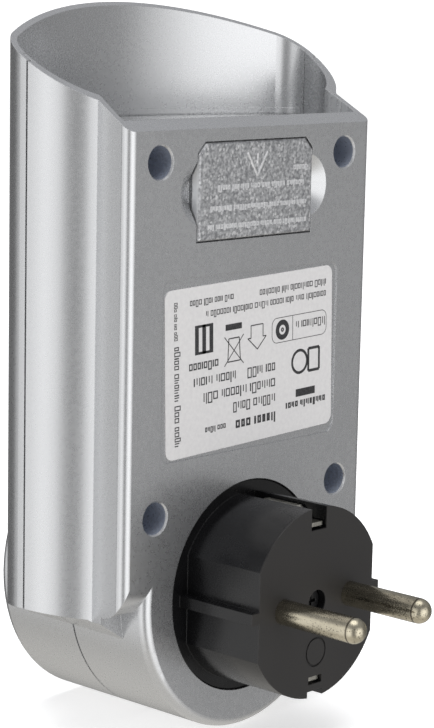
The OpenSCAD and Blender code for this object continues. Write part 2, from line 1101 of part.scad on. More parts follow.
module housing_screws() {
    head_h = 2;
    color(nickel)
        at_depth(head_depth - head_h)
            screw_places()
                difference() {
                    union() {
                        cylinder(r = 2.7, h = head_h, $fn = round);
                        cylinder(r = 1.45, h = 12.5, $fn = round);
                    }
                    for (a = [0, 90])
                        rotate([0, 0, a])
                            translate([-1.6, -0.35, -1])
                                cube([3.2, 0.7, 2]);
                }
}

front_housing();
rear_housing();
plug_body();
plug_pin_left();
plug_pin_right();
plug_earth_strip_top();
plug_earth_strip_bottom();
plug_centre_screw();
earth_ring();
socket_insert();
socket_earth_clip_top();
socket_earth_clip_bottom();
socket_shutter();
shutter_spring();
shutter_retainer();
live_contact();
neutral_contact();
live_bar();
shunt_resistor();
display_window();
lcd_module();
lcd_connector();
display_board();
meter_chip();
key_mat();
for (i = [0:4]) key(i);
power_board();
film_capacitor();
varistor();
fuse();
ribbon_cable();
battery_tray();
battery_cells();
battery_spring();
battery_plate();
battery_cover();
rating_label();
housing_screws();
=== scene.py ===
"""Looks of the plug-in power meter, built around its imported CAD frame."""

import math
import random

import bmesh
import bpy
from mathutils import Matrix, Vector


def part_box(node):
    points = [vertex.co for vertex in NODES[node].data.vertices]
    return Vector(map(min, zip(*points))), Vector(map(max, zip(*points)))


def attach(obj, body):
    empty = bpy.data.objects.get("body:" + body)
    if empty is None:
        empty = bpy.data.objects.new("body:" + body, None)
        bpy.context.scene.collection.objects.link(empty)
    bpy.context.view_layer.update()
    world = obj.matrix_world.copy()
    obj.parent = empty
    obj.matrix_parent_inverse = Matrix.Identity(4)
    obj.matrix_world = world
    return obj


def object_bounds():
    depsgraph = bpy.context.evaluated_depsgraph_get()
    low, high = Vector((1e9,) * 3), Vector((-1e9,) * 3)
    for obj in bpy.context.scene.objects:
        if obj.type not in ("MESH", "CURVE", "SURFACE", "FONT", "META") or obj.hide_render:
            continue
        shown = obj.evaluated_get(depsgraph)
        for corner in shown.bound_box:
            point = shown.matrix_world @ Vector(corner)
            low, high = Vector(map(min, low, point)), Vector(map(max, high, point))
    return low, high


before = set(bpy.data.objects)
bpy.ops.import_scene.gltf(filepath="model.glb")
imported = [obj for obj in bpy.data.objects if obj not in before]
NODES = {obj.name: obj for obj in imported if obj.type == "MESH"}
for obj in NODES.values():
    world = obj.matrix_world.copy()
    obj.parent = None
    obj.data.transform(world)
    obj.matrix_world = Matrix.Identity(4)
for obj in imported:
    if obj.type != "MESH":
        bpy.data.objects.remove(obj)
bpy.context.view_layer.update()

MM = 0.001
REAR_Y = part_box("rear_housing")[1].y
LABEL_LO, LABEL_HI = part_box("rating_label")
COVER_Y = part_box("battery_cover")[1].y
# The four screw holes: half their spacing, their heights, and the reach of the slate grey painted
# into them as shade
SCREW_X = 0.0256
SCREW_Z = (0.017, 0.082)
SCREW_R = 0.00325
SCREW_DEPTH = 0.018
# Where a pin's straight part ends and its round tip begins
PIN_TIP_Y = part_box("plug_pin_left")[1].y - 0.0024
# The curved front: its upright axis, and the radii of the window's rear side and the keys' tops
FRONT_AXIS_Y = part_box("display_window")[0].y + 0.0738
WINDOW_R = 0.0719
KEY_R = 0.0747
# The keys from left to right, and the millimetres between them
KEYS = ("func", "down", "up", "set", "reset")
KEY_PITCH = 11.5
LCD_Z = 0.0682
FLOOR_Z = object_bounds()[0].z - 0.0002


# ---------------------------------------------------------------- node helpers


class Graph:
    """Short calls for building one material's node tree."""

    def __init__(self, name):
        self.material = bpy.data.materials.new(name)
        self.material.use_nodes = True
        self.tree = self.material.node_tree
        self.shader = self.tree.nodes["Principled BSDF"]
        coord = self.tree.nodes.new("ShaderNodeTexCoord")
        self.place = coord.outputs["Object"]

    def node(self, kind, **settings):
        made = self.tree.nodes.new("ShaderNode" + kind)
        for key, value in settings.items():
            setattr(made, key, value)
        return made

    def link(self, source, target):
        self.tree.links.new(source, target)

    def feed(self, socket, value):
        if isinstance(value, (int, float)):
            socket.default_value = value
        elif isinstance(value, (tuple, list)):
            socket.default_value = tuple(value) + (1,) * (len(socket.default_value) - len(value))
        else:
            self.link(value, socket)

    def stretched(self, scale):
        made = self.node("Mapping")
        made.inputs["Scale"].default_value = scale
        self.link(self.place, made.inputs["Vector"])
        return made.outputs["Vector"]

    def noise(self, scale, detail=3.0, rough=0.5, place=None):
        made = self.node("TexNoise")
        made.inputs["Scale"].default_value = scale
        made.inputs["Detail"].default_value = detail
        made.inputs["Roughness"].default_value = rough
        self.link(place or self.place, made.inputs["Vector"])
        return made.outputs["Fac"]

    def cells(self, scale, feature="F1", output="Distance", place=None):
        made = self.node("TexVoronoi", feature=feature)
        made.inputs["Scale"].default_value = scale
        self.link(place or self.place, made.inputs["Vector"])
        return made.outputs[output]

    def math(self, operation, a, b=0.0):
        made = self.node("Math", operation=operation)
        self.feed(made.inputs[0], a)
        self.feed(made.inputs[1], b)
        return made.outputs[0]

    def spread(self, value, lo, hi, out_lo=0.0, out_hi=1.0):
        made = self.node("MapRange", clamp=True)
        self.feed(made.inputs["Value"], value)
        made.inputs["From Min"].default_value = lo
        made.inputs["From Max"].default_value = hi
        made.inputs["To Min"].default_value = out_lo
        made.inputs["To Max"].default_value = out_hi
        return made.outputs["Result"]

    def mix(self, factor, a, b):
        made = self.node("Mix", data_type="RGBA")
        self.feed(made.inputs["Factor"], factor)
        self.feed(made.inputs[6], a)
        self.feed(made.inputs[7], b)
        return made.outputs[2]

    def axes(self):
        made = self.node("SeparateXYZ")
        self.link(self.place, made.inputs[0])
        return made.outputs

    def bump(self, height, distance, strength=1.0, normal=None):
        made = self.node("Bump")
        made.inputs["Strength"].default_value = strength
        made.inputs["Distance"].default_value = distance
        self.link(height, made.inputs["Height"])
        if normal is not None:
            self.link(normal, made.inputs["Normal"])
        return made.outputs["Normal"]

    def soft_edges(self, radius):
        made = self.node("Bevel", samples=4)
        made.inputs["Radius"].default_value = radius
        return made.outputs["Normal"]

    def finish(self, color, roughness, metallic=0.0, normal=None, **constants):
        self.feed(self.shader.inputs["Base Color"], color)
        self.feed(self.shader.inputs["Roughness"], roughness)
        self.feed(self.shader.inputs["Metallic"], metallic)
        for name, value in constants.items():
            self.shader.inputs[name.replace("_", " ")].default_value = value
        if normal is not None:
            self.link(normal, self.shader.inputs["Normal"])
        return self.material


# ------------------------------------------------------------------- materials


def silver_paint():
    """Satin silver lacquer; the deep screw holes are painted slate grey, as painted shade inside
    them.
    """
    g = Graph("silver_paint")
    flakes = g.noise(1500, 2, 0.6)
    broad = g.noise(45, 3)
    base = g.mix(g.spread(flakes, 0.3, 0.7), (0.562, 0.568, 0.580), (0.592, 0.598, 0.609))
    x, y, z = g.axes()[:3]
    # inside a screw hole, past its rim, where the shade is painted
    far_x = g.math("SUBTRACT", g.math("ABSOLUTE", x), SCREW_X)
    near = []
    for height in SCREW_Z:
        dz = g.math("SUBTRACT", z, height)
        square = g.math("ADD", g.math("MULTIPLY", far_x, far_x), g.math("MULTIPLY", dz, dz))
        near.append(g.math("LESS_THAN", square, SCREW_R**2))
    painted_hole_shade = g.math("MAXIMUM", near[0], near[1])
    deep = g.math("LESS_THAN", y, REAR_Y - 0.00032)
    rear = g.math("GREATER_THAN", y, REAR_Y - SCREW_DEPTH)
    painted_hole_shade = g.math("MULTIPLY", painted_hole_shade, g.math("MULTIPLY", deep, rear))
    # painted shade: slate grey, less metallic, on the walls deep in the screw holes
    base = g.mix(painted_hole_shade, base, (0.42, 0.46, 0.55))
    sheen = g.spread(flakes, 0.3, 0.7, 0.25, 0.29)
    rough = g.math("ADD", sheen, g.spread(broad, 0.3, 0.7, -0.01, 0.02))
    metal = g.math("SUBTRACT", 0.85, g.math("MULTIPLY", painted_hole_shade, 0.45))
    normal = g.bump(broad, 0.00002, 0.3, g.soft_edges(0.00015))
    return g.finish(base, rough, metal, normal, Coat_Weight=0.12, Coat_Roughness=0.18)


def black_plastic(name, rough=0.24):
    """Moulded black plastic, glossy but for the plug's hazy flat face. The face is lighter for its
    haze; the glossy sides and the disc around it are painted darker, partly as painted shade.
    """
    # partly painted shade: this darker black on the glossy sides and disc stands in for the shadow
    # on them
    shaded_gloss = (0.0032, 0.0032, 0.0036)
    haze = (0.021, 0.0195, 0.019)
    g = Graph(name)
    fine = g.noise(2400, 3)
    broad = g.noise(110, 4)
    face = g.spread(g.axes()[1], -0.0004, -0.00005)
    shaded_shiny = g.mix(g.spread(broad, 0.35, 0.75), shaded_gloss, tuple(channel * 2.2 for channel in shaded_gloss))
    base = g.mix(face, shaded_shiny, haze)
    smears = g.spread(broad, 0.25, 0.75, rough - 0.05, rough + 0.08)
    polish = g.math("ADD", smears, g.spread(fine, 0.3, 0.7, -0.02, 0.03))
    roughness = g.math("ADD", polish, g.math("MULTIPLY", face, 0.2))
    height = g.math("ADD", fine, g.math("MULTIPLY", broad, 2.0))
    normal = g.bump(height, 0.00002, 0.6, g.soft_edges(0.00022))
    return g.finish(base, roughness, 0.0, normal, Specular_IOR_Level=0.46)


def plated_metal(name, color, rough=0.2, wear_level=1.0, ring_y=None):
    """Metal with fine lines along the part, small dark pits and, if asked, a dark ring."""
    g = Graph(name)
    lines = g.noise(1500, 5, 0.7, g.stretched((8, 0.16, 8)))
    specks = g.cells(2300)
    broad = g.noise(240, 4)
    dull = tuple(channel * 0.6 for channel in color)
    base = g.mix(g.spread(broad, 0.4, 0.7, 0.0, 0.85), color, dull)
    pits = g.math("ADD", g.math("MULTIPLY", specks, -1.4), broad)
    worn = g.spread(pits, -0.02, 0.32, 0.0, 0.8 * wear_level)
    base = g.mix(worn, base, (0.06, 0.05, 0.035))
    if ring_y is not None:
        away = g.math("ABSOLUTE", g.math("SUBTRACT", g.axes()[1], ring_y))
        base = g.mix(g.spread(away, 0.00008, 0.00026, 0.85, 0.0), base, (0.05, 0.04, 0.03))
    drawn = g.spread(lines, 0.3, 0.7, rough - 0.06, rough + 0.12)
    roughness = g.math("ADD", drawn, g.math("MULTIPLY", worn, 0.25))
    height = g.math("SUBTRACT", lines, g.math("MULTIPLY", worn, 0.8))
    normal = g.bump(height, 0.00003, 0.5 * wear_level, g.soft_edges(0.00015))
    return g.finish(base, roughness, 1.0, normal)


def eroded_cover():
    """Spark-eroded sparkle on the face with painted glints, sides painted plain bright as a painted
    highlight, and a bright arrow.
    """
    g = Graph("eroded_cover")
    coarse = g.noise(1500, 3, 0.6)
    painted_glints = g.cells(2300, output="Color")
    tone = g.node("SeparateColor")
    g.link(painted_glints, tone.inputs[0])
    y = g.axes()[1]
    face = g.spread(y, COVER_Y - 0.0006, COVER_Y - 0.0003)
    raised = g.spread(y, COVER_Y - 0.00009, COVER_Y - 0.00004)
    base = g.mix(g.spread(coarse, 0.38, 0.62), (0.33, 0.335, 0.35), (0.62, 0.625, 0.64))
    # painted glints: the brightest cells are painted near white as sparkle highlights
    base = g.mix(g.spread(tone.outputs[1], 0.72, 1.0, 0.0, 0.8), base, (0.92, 0.92, 0.93))
    # painted highlight: the sides, off the face, are painted plain bright
    base = g.mix(face, (0.74, 0.745, 0.755), base)
    base = g.mix(raised, base, (0.90, 0.90, 0.91))
    normal = g.bump(g.math("MULTIPLY", coarse, face), 0.0001, 0.7, g.soft_edges(0.00025))
    rough = g.spread(coarse, 0.3, 0.7, 0.3, 0.42)
    return g.finish(base, rough, 0.85, normal)


def label_film():
    g = Graph("label_film")
    fibre = g.noise(1300, 3)
    base = g.mix(g.spread(fibre, 0.3, 0.7), (0.70, 0.69, 0.695), (0.76, 0.75, 0.75))
    normal = g.bump(g.noise(300, 2), 0.00001, 0.4, g.soft_edges(0.0001))
    return g.finish(base, g.spread(fibre, 0.3, 0.7, 0.3, 0.38), 0.0, normal)


def raised_marks():
    g = Graph("raised_marks")
    grain = g.noise(2400, 2)
    base = g.mix(g.spread(grain, 0.35, 0.65), (0.84, 0.845, 0.86), (0.95, 0.95, 0.96))
    return g.finish(base, g.spread(grain, 0.3, 0.7, 0.3, 0.45), 0.7, g.bump(grain, 0.00003, 0.6))


def print_ink():
    g = Graph("print_ink")
    spots = g.noise(5200, 2)
    base = g.mix(g.spread(spots, 0.45, 0.75), (0.016, 0.016, 0.018), (0.07, 0.07, 0.075))
    return g.finish(base, g.spread(spots, 0.3, 0.7, 0.4, 0.5))


def moulded(name, color, rough=0.45, grain=1800):
    """Plain moulded or coated part with a fine grain and broad, faint patches."""
    g = Graph(name)
    fine = g.noise(grain, 3)
    broad = g.noise(90, 3)
    dark = tuple(channel * 0.8 for channel in color)
    base = g.mix(g.spread(broad, 0.3, 0.7), dark, color)
    patches = g.spread(broad, 0.3, 0.7, rough - 0.05, rough + 0.05)
    roughness = g.math("ADD", patches, g.spread(fine, 0.3, 0.7, -0.03, 0.03))
    normal = g.bump(fine, 0.00002, 0.6, g.soft_edges(0.0002))
    return g.finish(base, roughness, 0.0, normal)


def circuit_board():
    """Green board with cell-shaped tracks and round pads, the same through its thickness."""
    g = Graph("circuit_board")
    place = g.stretched((1, 0.01, 1))
    tracks = g.cells(260, feature="DISTANCE_TO_EDGE", place=place)
    lines = g.math("LESS_THAN", tracks, 0.06)
    pads = g.math("LESS_THAN", g.cells(420, place=place), 0.16)
    base = g.mix(lines, (0.012, 0.085, 0.035), (0.02, 0.16, 0.06))
    base = g.mix(pads, base, (0.62, 0.60, 0.56))
    normal = g.bump(g.math("ADD", lines, pads), 0.00004, 0.5)
    rough = g.spread(g.noise(300, 3), 0.3, 0.7, 0.3, 0.42)
    return g.finish(base, rough, g.math("MULTIPLY", pads, 0.9), normal)


def smoked_window():
    g = Graph("smoked_window")
    haze = g.noise(600, 2)
    rough = g.spread(haze, 0.3, 0.7, 0.03, 0.07)
    edges = g.soft_edges(0.0003)
    return g.finish((0.35, 0.38, 0.40), rough, 0.0, edges, Transmission_Weight=0.95, IOR=1.49)


def display_glass():
    g = Graph("display_glass")
    field = g.noise(400, 2)
    base = g.mix(g.spread(field, 0.3, 0.7), (0.30, 0.34, 0.27), (0.34, 0.38, 0.30))
    return g.finish(base, g.spread(field, 0.3, 0.7, 0.16, 0.22), 0.0, g.bump(field, 0.000004, 0.4))


def key_print():
    g = Graph("key_print")
    grain = g.noise(3000, 2)
    base = g.mix(g.spread(grain, 0.3, 0.7), (0.612, 0.6205, 0.629), (0.72, 0.73, 0.74))
    return g.finish(base, g.spread(grain, 0.3, 0.7, 0.45, 0.55))


def dress_nodes():
    """Give every node of the frame its material."""
    silver = silver_paint()
    plated = plated_metal("earth_plating", (0.70, 0.68, 0.61), 0.25, 0.5)
    pins = plated_metal("pin_plating", (0.58, 0.53, 0.41), 0.15, 1.0, PIN_TIP_Y)
    steel = plated_metal("zinc_steel", (0.45, 0.46, 0.48), 0.34, 0.4)
    bright = plated_metal("bright_steel", (0.72, 0.72, 0.71), 0.2, 0.3)
    brass = plated_metal("stamped_brass", (0.80, 0.56, 0.27), 0.26, 0.4)
    board = circuit_board()
    key = moulded("key_plastic", (0.055, 0.060, 0.070), 0.42)
    looks = {
        "front_housing": silver,
        "rear_housing": silver,
        "plug_body": black_plastic("plug_plastic"),
        "socket_insert": black_plastic("socket_plastic", rough=0.34),
        "plug_pin_left": pins,
        "plug_pin_right": pins,
        "plug_earth_strip_top": plated,
        "plug_earth_strip_bottom": plated,
        "earth_ring": plated,
        "socket_earth_clip_top": plated,
        "socket_earth_clip_bottom": plated,
        "plug_centre_screw": moulded("screw_cap", (0.008, 0.008, 0.009), 0.35),
        "housing_screws": steel,
        "socket_shutter": moulded("shutter_plastic", (0.60, 0.58, 0.50), 0.5),
        "shutter_spring": bright,
        "shutter_retainer": bright,
        "live_contact": brass,
        "neutral_contact": brass,
        "live_bar": brass,
        "shunt_resistor": plated_metal("shunt_alloy", (0.42, 0.34, 0.24), 0.35, 0.5),
        "display_window": smoked_window(),
        "lcd_module": display_glass(),
        "lcd_connector": moulded("zebra_rubber", (0.65, 0.35, 0.36), 0.7),
        "display_board": board,
        "power_board": board,
        "meter_chip": moulded("chip_epoxy", (0.02, 0.02, 0.022), 0.55),
        "key_mat": moulded("key_rubber", (0.66, 0.66, 0.64), 0.6),
        "film_capacitor": moulded("capacitor_case", (0.70, 0.46, 0.06), 0.35),
        "varistor": moulded("varistor_coat", (0.03, 0.10, 0.36), 0.25, 500),
        "fuse": moulded("fuse_ceramic", (0.76, 0.74, 0.68), 0.4),
        "ribbon_cable": moulded("ribbon_film", (0.66, 0.66, 0.65), 0.4),
        "battery_tray": moulded("tray_plastic", (0.045, 0.045, 0.05), 0.5),
        "battery_cells": bright,
        "battery_spring": bright,
        "battery_plate": bright,
        "battery_cover": eroded_cover(),
        "rating_label": label_film(),
    }
    for name in KEYS:
        looks["key_" + name] = key
    for name, material in looks.items():
        mesh = NODES[name].data
        mesh.materials.clear()
        mesh.materials.append(material)
    missing = sorted(set(NODES) - set(looks))
    assert not missing, missing


# -------------------------------------------------------------- added geometry


def new_object(name, bm):
    """A scene object made from a finished mesh in the making."""
    mesh = bpy.data.meshes.new(name)
    bm.to_mesh(mesh)
    bm.free()
    made = bpy.data.objects.new(name, mesh)
    bpy.context.scene.collection.objects.link(made)
    return made


LABEL_TILT = math.radians(-1.8)
INK_T = 0.02 * MM

# Rows of blocks on the label, which stand on their heads as the label does:
# from, to, foot and height in millimetres from the label's centre, then stroke
LABEL_ROWS = (
    (-6.8, 6.2, -10.95, 2.05, 0.42),
    (7.3, 13.4, -11.0, 1.2, 0.2),
    (-6.7, 6.4, -7.4, 2.0, 0.24),
    (-6.7, 13.8, -4.4, 2.1, 0.24),
    (-6.7, 2.3, -1.35, 2.05, 0.24),
    (4.5, 17.5, -1.35, 2.05, 0.24),
    (9.3, 17.2, 1.55, 1.75, 0.26),
    (-21.6, -1.3, 13.2, 1.4, 0.17),
    (5.1, 18.0, 13.3, 1.3, 0.17),
    (-21.6, 12.9, 10.9, 1.4, 0.17),
    (-21.4, -12.6, 5.8, 1.7, 0.2),
    (-21.6, -9.0, -9.85, 1.5, 0.32),
)
# The same for the upright rows at the label's side: from, to, foot, height, stroke
LABEL_SIDE_ROWS = (
    (13.4, 6.3, 21.1, 0.9, 0.13),
    (5.2, -13.6, 21.1, 1.6, 0.2),
)
# Rows on the battery cover, in millimetres from the frame's origin
COVER_ROWS = (
    (-14.2, -9.6, 80.2, 1.2, 0.2),
    (-13.3, 11.0, 77.3, 1.2, 0.22),
    (-14.0, 13.4, 73.5, 1.1, 0.22),
    (-14.2, 13.8, 70.1, 1.15, 0.22),
)

# Lit segments of each digit, lettered clockwise from the top, with g in the middle
DIGITS = {
    "0": "abcdef", "1": "bc", "2": "abged", "3": "abgcd", "4": "fgbc",
    "5": "afgcd", "6": "afgedc", "7": "abc", "8": "abcdefg", "9": "abcdfg",
}


class Print:
    """Thin flat marks between y and y + thickness, in millimetres around a centre."""

    def __init__(self, centre, y, thickness, tilt=0.0):
        self.bm = bmesh.new()
        self.centre = centre
        self.y = y
        self.thickness = thickness
        self.tilt = tilt

    def spot(self, x, z, rear):
        """A point on the marks' rear side, or else on their front side."""
        c, s = math.cos(self.tilt), math.sin(self.tilt)
        y = self.y + self.thickness if rear else self.y
        return (self.centre[0] + x * c - z * s, y, self.centre[1] + x * s + z * c)

    def tile(self, points):
        back = [self.bm.verts.new(self.spot(x * MM, z * MM, True)) for x, z in points]
        front = [self.bm.verts.new(self.spot(x * MM, z * MM, False)) for x, z in points]
        self.bm.faces.new(back)
        self.bm.faces.new(front[::-1])
        for i in range(len(points)):
            j = (i + 1) % len(points)
            self.bm.faces.new((back[j], back[i], front[i], front[j]))

    def box(self, x0, z0, x1, z1):
        x0, x1 = sorted((x0, x1))
        z0, z1 = sorted((z0, z1))
        self.tile([(x0, z0), (x1, z0), (x1, z1), (x0, z1)])

    def stroke(self, start, end, width):
        dx, dz = end[0] - start[0], end[1] - start[1]
        length = math.hypot(dx, dz)
        nx, nz = -dz / length * width / 2, dx / length * width / 2
        self.tile([
            (start[0] - nx, start[1] - nz), (end[0] - nx, end[1] - nz),
            (end[0] + nx, end[1] + nz), (start[0] + nx, start[1] + nz),
        ])

    def outline(self, points, width):
        for start, end in zip(points, points[1:] + points[:1]):
            self.stroke(start, end, width)

    def arc(self, x, z, radius, width, start=0.0, turn=360.0, steps=40):
        inner, outer = radius - width / 2, radius + width / 2
        for i in range(steps):
            a = math.radians(start + turn * i / steps)
            b = math.radians(start + turn * (i + 1) / steps)
            self.tile([
                (x + inner * math.cos(a), z + inner * math.sin(a)),
                (x + outer * math.cos(a), z + outer * math.sin(a)),
                (x + outer * math.cos(b), z + outer * math.sin(b)),
                (x + inner * math.cos(b), z + inner * math.sin(b)),
            ])

    def blocks(self, start, end, foot, height, stroke, rng, upright=False):
        """A row of small frames and bars in word-like groups; none is a letter."""
        step = 1 if end > start else -1

        def put(a0, h0, a1, h1):
            if upright:
                self.box(foot - h0, start + step * a0, foot - h1, start + step * a1)
            else:
                self.box(start + step * a0, foot - h0, start + step * a1, foot - h1)

        at, room = 0.0, abs(end - start)
        left = rng.randint(3, 8)
        while at < room - height * 0.5:
            width = height * rng.uniform(0.42, 0.6)
            rise = height * rng.choice((0.74, 0.74, 0.74, 1.0))
            kind = rng.random()
            if kind < 0.6:
                put(at, 0, at + stroke, rise)
                put(at + width - stroke, 0, at + width, rise)
                put(at + stroke, 0, at + width - stroke, stroke)
                put(at + stroke, rise - stroke, at + width - stroke, rise)
            elif kind < 0.8:
                put(at, 0, at + stroke, rise)
                put(at + width * 0.62, 0, at + width * 0.62 + stroke, rise * 0.8)
            else:
                width = stroke * 1.3
                put(at, 0, at + width, rise)
            at += width + max(stroke * 0.9, height * 0.13)
            left -= 1
            if left == 0:
                at += height * 0.34
                left = rng.randint(3, 8)

    def piece(self, name, material, body, slot):
        made = new_object(name, self.bm)
        made.data.materials.append(material)
        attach(made, body)


class FrontPrint(Print):
    """Thin marks that follow the curved front, at a distance from its upright axis."""

    def __init__(self, radius, thickness, z):
        super().__init__((0.0, z), 0.0, thickness)
        self.radius = radius

    def spot(self, x, z, rear):
        radius = self.radius if rear else self.radius + self.thickness
        return (x, FRONT_AXIS_Y - math.sqrt(radius**2 - x * x), self.centre[1] + z)

    def band(self, x0, z0, x1, z1, columns):
        width = (x1 - x0) / columns
        for i in range(columns):
            self.box(x0 + width * i, z0, x0 + width * (i + 1), z1)


def label_marks(ink):
    """The label's print, as plain blocks and simple signs."""
    rng = random.Random(7)
    centre = ((LABEL_LO.x + LABEL_HI.x) / 2, (LABEL_LO.z + LABEL_HI.z) / 2)
    rows = Print(centre, LABEL_HI.y, INK_T, LABEL_TILT)
    for start, end, foot, height, stroke in LABEL_ROWS:
        rows.blocks(start, end, foot, height, stroke, rng)
    for start, end, foot, height, stroke in LABEL_SIDE_ROWS:
        rows.blocks(start, end, foot, height, stroke, rng, upright=True)
    rows.piece("label_rows", ink, "housing", "label_film")

    signs = Print(centre, LABEL_HI.y, INK_T, LABEL_TILT)
    # bar, crossed box and hollow arrow
    signs.box(2.8, 6.5, 7.3, 7.65)
    signs.outline([(3.2, 0.5), (6.7, 0.5), (6.4, 4.9), (3.5, 4.9)], 0.22)
    signs.stroke((2.3, -0.2), (7.6, 5.3), 0.18)
    signs.stroke((2.3, 5.3), (7.6, -0.2), 0.18)
    arrow = [(-3.2, 6.6), (0.2, 6.6), (0.2, 4.2), (1.1, 4.2), (-1.6, 1.9), (-4.1, 4.2), (-3.2, 4.2)]
    signs.outline(arrow, 0.2)
    # striped block
    for i in range(3):
        signs.box(10.7 + 1.95 * i, 3.0, 11.7 + 1.95 * i, 8.5)
    signs.box(11.7, 3.0, 14.6, 3.5)
    signs.box(11.7, 8.0, 14.6, 8.5)
    # rounded frame around a disc
    for x, z, start in ((-20.4, 3.7, 180), (-7.2, 3.7, 270), (-7.2, 5.7, 0), (-20.4, 5.7, 90)):
        signs.arc(x, z, 1.4, 0.12, start, 90, 8)
    signs.box(-20.4, 2.24, -7.2, 2.36)
    signs.box(-20.4, 7.04, -7.2, 7.16)
    signs.box(-21.86, 3.7, -21.74, 5.7)
    signs.box(-5.86, 3.7, -5.74, 5.7)
    signs.box(-11.86, 2.36, -11.74, 7.04)
    signs.arc(-8.8, 4.7, 1.45, 1.0)
    signs.arc(-8.8, 4.7, 0.28, 0.3)
    # a ring beside a square frame, and a bar
    signs.arc(-13.9, -2.2, 2.2, 0.55)
    signs.outline([(-19.7, -4.4), (-16.5, -4.4), (-16.5, 0.0), (-19.7, 0.0)], 0.55)
    signs.box(-18.5, -9.1, -12.8, -7.6)
    signs.piece("label_signs", ink, "housing", "label_film")


def cover_marks(material):
    """Raised rows on the battery cover, as high as its arrow."""
    rng = random.Random(11)
    rows = Print((0.0, 0.0), COVER_Y - 0.12 * MM, 0.1 * MM)
    for start, end, foot, height, stroke in COVER_ROWS:
        rows.blocks(start, end, foot, height, stroke, rng)
    rows.piece("cover_rows", material, "battery_cover", "cover_plastic")


def seven_segments(marks, text, x, z, height):
    """Slanted display digits, written from x to the right."""
    width, stroke, gap = height * 0.46, height * 0.12, height * 0.03
    half = height / 2

    def spot(u, v):
        return (x + u + v * 0.12, z + v)

    for sign in text:
        if sign in ".:":
            for v in (stroke / 2,) if sign == "." else (height * 0.3, height * 0.7):
                marks.stroke(spot(0, v), spot(stroke, v), stroke)
            x += stroke * 2.6
            continue
        ends = {
            "a": ((gap, height), (width - gap, height)),
            "b": ((width, height - gap), (width, half + gap)),
            "c": ((width, half - gap), (width, gap)),
            "d": ((gap, 0), (width - gap, 0)),
            "e": ((0, half - gap), (0, gap)),
            "f": ((0, height - gap), (0, half + gap)),
            "g": ((gap, half), (width - gap, half)),
        }
        for name in DIGITS[sign]:
            start, end = ends[name]
            marks.stroke(spot(*start), spot(*end), stroke)
        x += width + stroke * 2.4


def display_marks(ink):
    """Digits on the display's glass and the dark border behind the window."""
    glass_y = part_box("lcd_module")[0].y
    digits = Print((0.0, LCD_Z), glass_y - INK_T, INK_T)
    seven_segments(digits, "12:00", -17.5, 5.6, 3.6)
    seven_segments(digits, "230.5", -13.0, -5.2, 8.0)
    seven_segments(digits, "50.0", 6.5, 5.6, 3.6)
    # a line under the small figures, and a row of ten bars
    digits.box(-18.5, 4.1, 18.5, 4.25)
    for i in range(10):
        digits.box(-17.5 + 3.6 * i, -8.3, -15.0 + 3.6 * i, -7.3)
    digits.piece("display_digits", ink, "housing", "lcd_glass")

    border = FrontPrint(WINDOW_R - 2 * INK_T, INK_T, LCD_Z)
    for x0, x1 in ((-22.8, -20.4), (20.4, 22.8)):
        border.band(x0, -14.2, x1, 11.8, 3)
    for z0, z1 in ((-14.2, -10.2), (10.4, 11.8)):
        border.band(-20.4, z0, 20.4, z1, 40)
    border.piece("window_border", ink, "housing", "tinted_window")


def key_marks(material):
    """A simple sign on each key, standing on the key's curved top."""
    for i, name in enumerate(KEYS):
        node = "key_" + name
        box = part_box(node)
        x = (i - 2) * KEY_PITCH
        marks = FrontPrint(KEY_R, INK_T, (box[0].z + box[1].z) / 2)
        if name == "func":
            for z in (-1.2, -0.2, 0.8):
                marks.box(x - 1.4, z, x + 1.4, z + 0.4)
        elif name in ("down", "up"):
            tip = 1.3 if name == "up" else -1.3
            marks.outline([(x - 1.5, -tip * 0.7), (x + 1.5, -tip * 0.7), (x, tip)], 0.4)
        elif name == "set":
            marks.arc(x, 0, 1.3, 0.4, steps=24)
        else:
            marks.stroke((x - 1.2, -1.2), (x + 1.2, 1.2), 0.4)
            marks.stroke((x - 1.2, 1.2), (x + 1.2, -1.2), 0.4)
        marks.piece("sign_" + node, material, node, "key_plastic")


def stage_scene():
    """A pale floor that turns up into a round backdrop far behind the object."""
    flat, lift, wall_top = 2.2, 1.1, 3.5
    steps, around = 10, 72
    profile = [(0.4, 0.0), (1.2, 0.0)]
    for i in range(steps + 1):
        turn = math.pi / 2 * i / steps
        profile.append((flat + lift * math.sin(turn), lift * (1 - math.cos(turn))))
    profile.append((flat + lift, wall_top))
    bm = bmesh.new()
    rings = []
    for radius, height in profile:
        rings.append([
            bm.verts.new((radius * math.cos(a), radius * math.sin(a), height))
            for a in (2 * math.pi * i / around for i in range(around))
        ])
    middle = bm.verts.new((0, 0, 0))
    for i in range(around):
        j = (i + 1) % around
        bm.faces.new((middle, rings[0][i], rings[0][j]))
        for low, high in zip(rings, rings[1:]):
            bm.faces.new((low[i], high[i], high[j], low[j]))
    floor = new_object("floor", bm)
    floor.data.shade_smooth()
    floor.location.z = FLOOR_Z
    g = Graph("pale_floor")
    tone = g.noise(3, 2)
    base = g.mix(g.spread(tone, 0.3, 0.7), (0.88, 0.88, 0.88), (0.90, 0.90, 0.90))
    g.feed(g.shader.inputs["Emission Color"], (1, 1, 1))
    floor.data.materials.append(g.finish(base, 0.85, Emission_Strength=0.5))
    floor.visible_glossy = False
    floor.visible_diffuse = False
    floor.visible_shadow = False


# Brightness of the surroundings by compass direction, in degrees from +X towards +Y
SURROUND = (
    (-180, 0.22), (-130, 0.2), (-95, 0.1), (-72, 0.08), (-61, 0.25), (-53, 0.95),
    (-30, 1.1), (-4, 1.45), (14, 1.25), (29, 0.45), (41, 0.28), (51, 0.5), (62, 1.4), (84, 1.8),
    (104, 1.6), (119, 1.0), (133, 0.3), (158, 0.3), (180, 0.22),
)
# The brightest level that the ramp can hold, then the colours above and below
SURROUND_TOP = 2.0
SKY = (0.40, 0.405, 0.42)
ZENITH = (1.9, 1.9, 1.9)
GROUND = (0.72, 0.70, 0.66)
